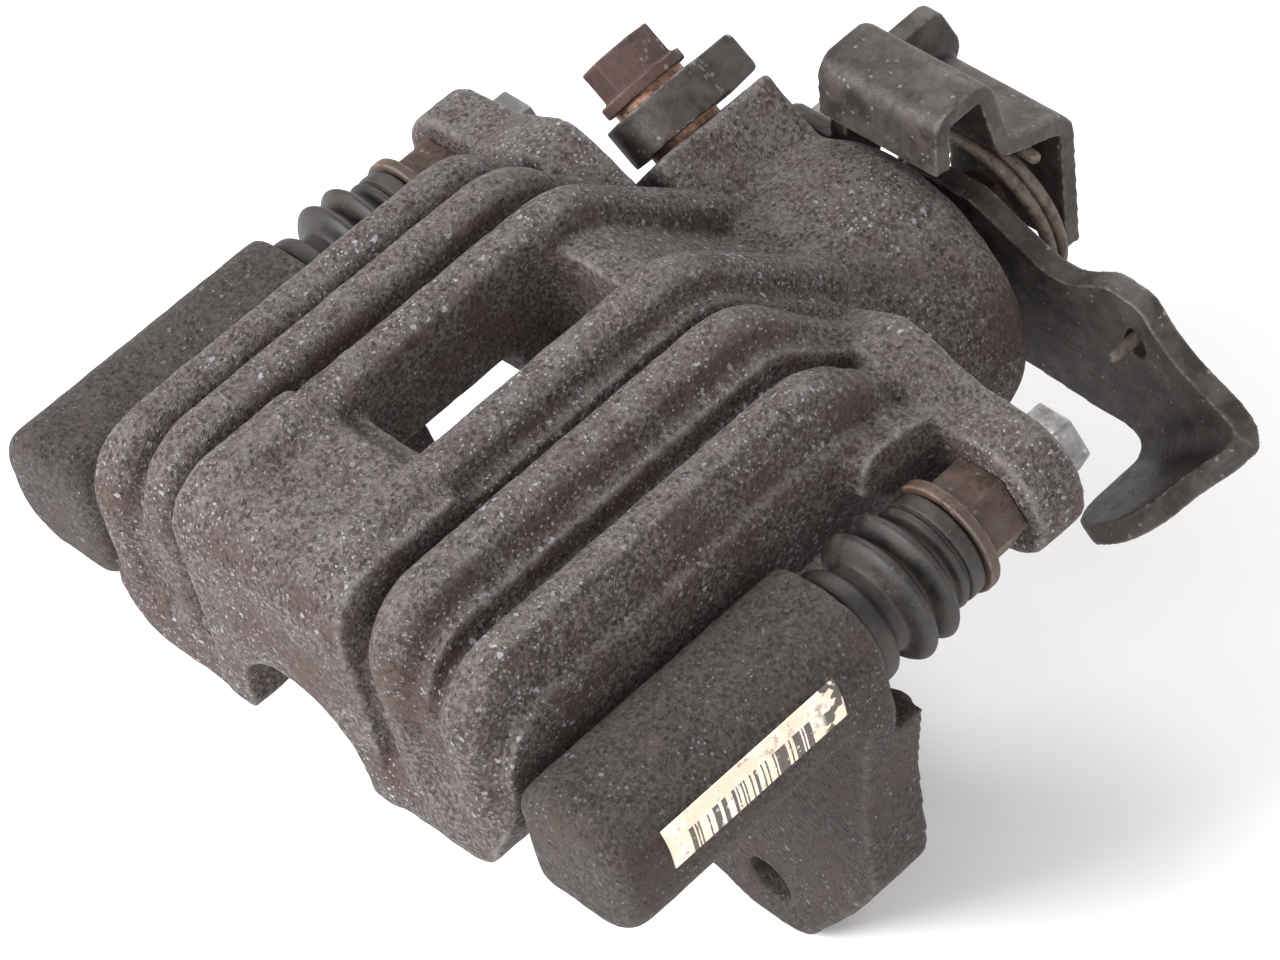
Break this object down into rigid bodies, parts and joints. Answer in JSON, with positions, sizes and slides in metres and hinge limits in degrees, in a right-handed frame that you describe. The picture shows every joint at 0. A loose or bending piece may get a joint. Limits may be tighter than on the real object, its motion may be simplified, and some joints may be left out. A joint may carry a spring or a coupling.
{
  "type": "rear brake caliper",
  "caption": "Floating rear brake caliper on its carrier, with ribbed casting, guide pins and boots, hose fitting, cable bracket and a sprung parking-brake lever.",
  "frame": {"origin": "midway between the two carrier bolt holes, on the flat inboard face of the carrier's ears", "axes": "+X along the line of the guide pins, +Y inboard along the piston axis, +Z away from the axle"},
  "size_m": [0.1703, 0.1914, 0.1365],
  "materials": {
    "caliper_iron": "rough, speckled with white corrosion",
    "carrier_iron": "rough, dark brown",
    "rubber": "matte, dusty",
    "pin_steel": "light brown rust",
    "zinc_steel": "dull zinc",
    "copper": "dull copper",
    "stainless_clip": "clean machined",
    "rusty_steel": "red-brown rust",
    "label_paper": "torn and stained",
    "lever_steel": "dark, oxidised",
    "bronze": "sintered"
  },
  "bodies": {
    "carrier_frame": {"carrier": "carrier_iron", "pad_clips": "stainless_clip", "barcode_label": "label_paper", "guide_pin_boots": "rubber"},
    "caliper": {"caliper_body": "caliper_iron", "guide_pins": "pin_steel", "guide_pin_bolts": "zinc_steel", "banjo_bolt": "rusty_steel", "banjo_fitting": "lever_steel", "banjo_washers": "copper", "bleed_screw": "zinc_steel", "bleed_cap": "rubber", "cable_bracket": "lever_steel", "bracket_bolts": "zinc_steel", "piston_seal": "rubber", "piston_dust_boot": "rubber", "shaft_bush": "bronze", "shaft_seal": "rubber", "thrust_washer": "stainless_clip", "spring_cage": "stainless_clip", "cage_circlip": "stainless_clip", "spindle_spring": "stainless_clip", "return_spring": "pin_steel"},
    "piston_group": {"piston": "stainless_clip", "adjuster_nut": "stainless_clip", "thrust_bearing": "stainless_clip", "clutch_spring": "stainless_clip", "nut_circlip": "stainless_clip"},
    "spindle_group": {"adjuster_spindle": "stainless_clip", "spindle_o_ring": "rubber"},
    "lever_group": {"lever_shaft": "stainless_clip", "ramp_balls": "stainless_clip", "parking_lever": "lever_steel", "lever_washer": "zinc_steel", "lever_nut": "rusty_steel"}
  },
  "joints": [
    {"name": "caliper_slide", "type": "slide", "parent": "carrier_frame", "child": "caliper", "axis": [0, 1, 0], "range_m": [-0.01, 0.006], "deforming": ["guide_pin_boots"]},
    {"name": "piston_slide", "type": "slide", "parent": "caliper", "child": "piston_group", "axis": [0, -1, 0], "range_m": [0, 0.012], "deforming": ["piston_dust_boot"]},
    {"name": "lever_swing", "type": "hinge", "parent": "caliper", "child": "lever_group", "pos_m": [0, 0.093, 0.0589], "axis": [0, -1, 0], "range_deg": [0, 28], "stiffness_Nm_per_rad": 2.5, "springref_deg": -20.05, "deforming": ["return_spring"]},
    {"name": "spindle_push", "type": "slide", "parent": "caliper", "child": "spindle_group", "axis": [0, -1, 0], "range_m": [0, 0.0015], "deforming": ["spindle_spring"]}
  ],
  "couplings": [
    {"joint": "spindle_push", "follows": "lever_swing", "m_per_rad": 0.00266}
  ]
}
